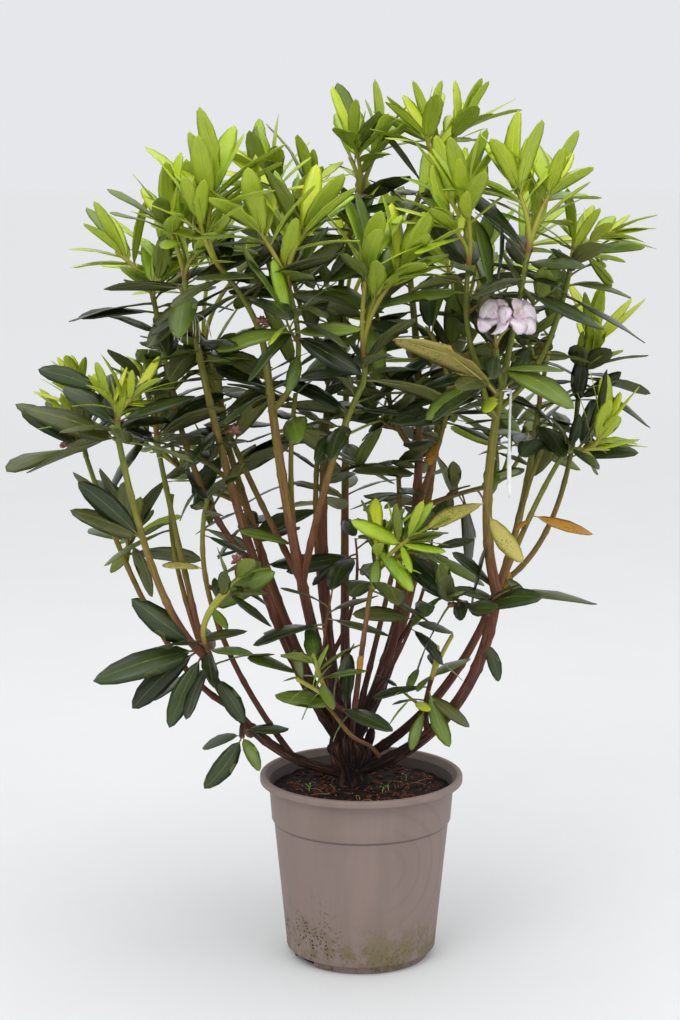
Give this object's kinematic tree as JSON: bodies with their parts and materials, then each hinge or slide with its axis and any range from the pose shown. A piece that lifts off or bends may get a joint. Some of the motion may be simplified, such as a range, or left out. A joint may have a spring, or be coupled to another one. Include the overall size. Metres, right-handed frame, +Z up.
{
  "type": "potted rhododendron shrub",
  "caption": "Rhododendron shrub in a round plastic nursery pot: bare stems fan out from a low stool to whorls of dark old leaves and rosettes of bright young ones, with a small pink blossom.",
  "frame": {"origin": "centre of the pot's flat underside, on the surface that it stands on", "axes": "+Z up along the pot's axis, -Y to the plant's front, +X to its right as seen from the front"},
  "size_m": [0.8692, 0.5967, 1.1869],
  "materials": {
    "pot_plastic": "moulded taupe plastic, matt, with faint streaks and algae stains at its foot",
    "compost": "dark moist bark compost with reddish chips",
    "trunk_bark": "flaking black-brown bark",
    "bough_bark": "red-brown bark, smoother and greener towards the tips",
    "young_foliage": "satin yellow-green young leaves on yellow-green shoots",
    "old_foliage": "leathery dark green leaves with a soft gloss, olive underneath",
    "blossom": "thin pale pink petals with an orange flare",
    "label_tag": "blank white tag on a thin loop"
  },
  "bodies": {
    "root": {"back_bough": "bough_bark", "back_centre_bough": "bough_bark", "back_centre_crown_foliage": "young_foliage", "back_left_bough": "bough_bark", "back_left_crown_foliage": "young_foliage", "back_left_mid_foliage": "old_foliage", "back_right_crown_foliage": "young_foliage", "back_right_mid_foliage": "old_foliage", "blossom_foliage": "blossom", "centre_back_bough": "bough_bark", "centre_bough": "bough_bark", "centre_crown_foliage": "young_foliage", "centre_front_crown_foliage": "young_foliage", "centre_left_bough": "bough_bark", "centre_left_crown_foliage": "young_foliage", "centre_right_bough": "bough_bark", "compost": "compost", "front_shoot_bough": "bough_bark", "front_shoot_foliage": "young_foliage", "left_crown_foliage": "young_foliage", "left_crown_outer_foliage": "young_foliage", "left_far_bough": "bough_bark", "left_far_foliage": "young_foliage", "left_far_whorl_foliage": "old_foliage", "left_fork_bough": "bough_bark", "left_inner_bough": "bough_bark", "left_inner_foliage": "old_foliage", "left_low_bough": "bough_bark", "left_low_foliage": "old_foliage", "left_mid_bough": "bough_bark", "left_node_foliage": "old_foliage", "left_outer_bough": "bough_bark", "left_tip_foliage": "young_foliage", "low_front_foliage": "old_foliage", "mid_centre_foliage": "old_foliage", "mid_left_foliage": "old_foliage", "mid_right_foliage": "old_foliage", "plant_label": "label_tag", "pot": "pot_plastic", "right_back_bough": "bough_bark", "right_crown_foliage": "young_foliage", "right_crown_left_foliage": "young_foliage", "right_crown_outer_foliage": "young_foliage", "right_far_bough": "bough_bark", "right_far_foliage": "young_foliage", "right_fork_bough": "bough_bark", "right_low_bough": "bough_bark", "right_low_foliage": "old_foliage", "right_mid_foliage": "old_foliage", "right_node_foliage": "old_foliage", "right_outer_bough": "bough_bark", "right_outer_foliage": "young_foliage", "right_second_bough": "bough_bark", "right_upper_bough": "bough_bark", "small_right_foliage": "old_foliage", "top_centre_foliage": "young_foliage", "top_right_foliage": "young_foliage", "trunk": "trunk_bark", "upper_left_back_foliage": "young_foliage"}
  },
  "joints": []
}
